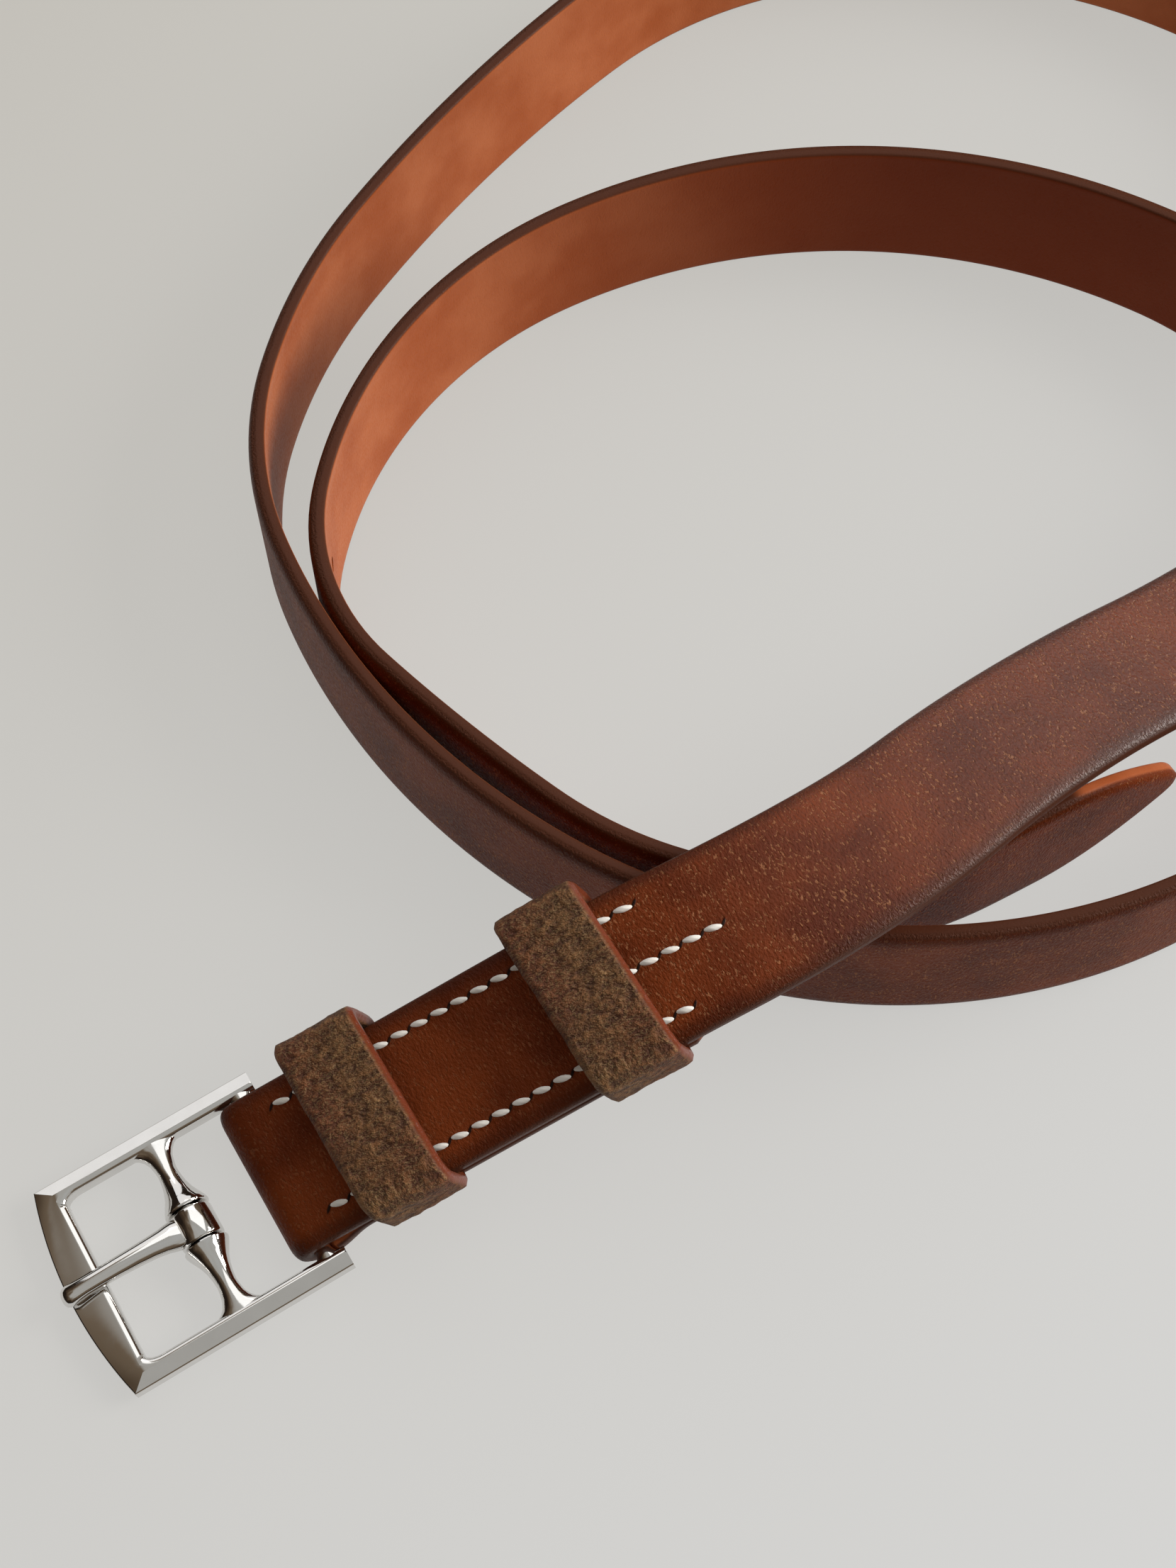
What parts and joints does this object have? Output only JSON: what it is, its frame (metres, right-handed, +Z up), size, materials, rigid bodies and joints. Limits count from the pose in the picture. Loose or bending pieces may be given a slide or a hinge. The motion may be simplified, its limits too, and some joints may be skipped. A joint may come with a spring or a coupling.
{
  "type": "leather belt",
  "caption": "Narrow leather belt lying loosely coiled on its edge, with a polished open buckle on a sewn fold, fixed keepers and a tapered, punched tip.",
  "frame": {"origin": "centre of the coiled belt's outline on the surface it lies on", "axes": "+Z up from that surface; the buckle lies nearest the corner at -X -Y and the strap leaves it at 24 degrees from +X towards +Y"},
  "size_m": [0.2416, 0.2733, 0.0366],
  "materials": {
    "strap_leather": "waxed, darker dyed edges",
    "keeper_leather": "rough nap, burnished edge",
    "thread": "waxed linen thread",
    "polished_metal": "mirror polished"
  },
  "bodies": {
    "strap_body": {"strap": "strap_leather", "keeper_front": "keeper_leather", "keeper_back": "keeper_leather", "stitch_row_left": "thread", "stitch_row_right": "thread", "stitch_row_middle": "thread"},
    "frame_body": {"buckle_frame": "polished_metal"},
    "tongue_body": {"tongue": "polished_metal"}
  },
  "joints": [
    {"name": "buckle_swing", "type": "hinge", "parent": "strap_body", "child": "frame_body", "pos_m": [-0.0849, -0.1061, 0.0044], "axis": [-0.515, 0.8572, 0], "range_deg": [0, 60]},
    {"name": "tongue_swing", "type": "hinge", "parent": "frame_body", "child": "tongue_body", "pos_m": [-0.09705, -0.1134, 0.0035], "axis": [-0.515, 0.8572, 0], "range_deg": [0, 90]}
  ]
}
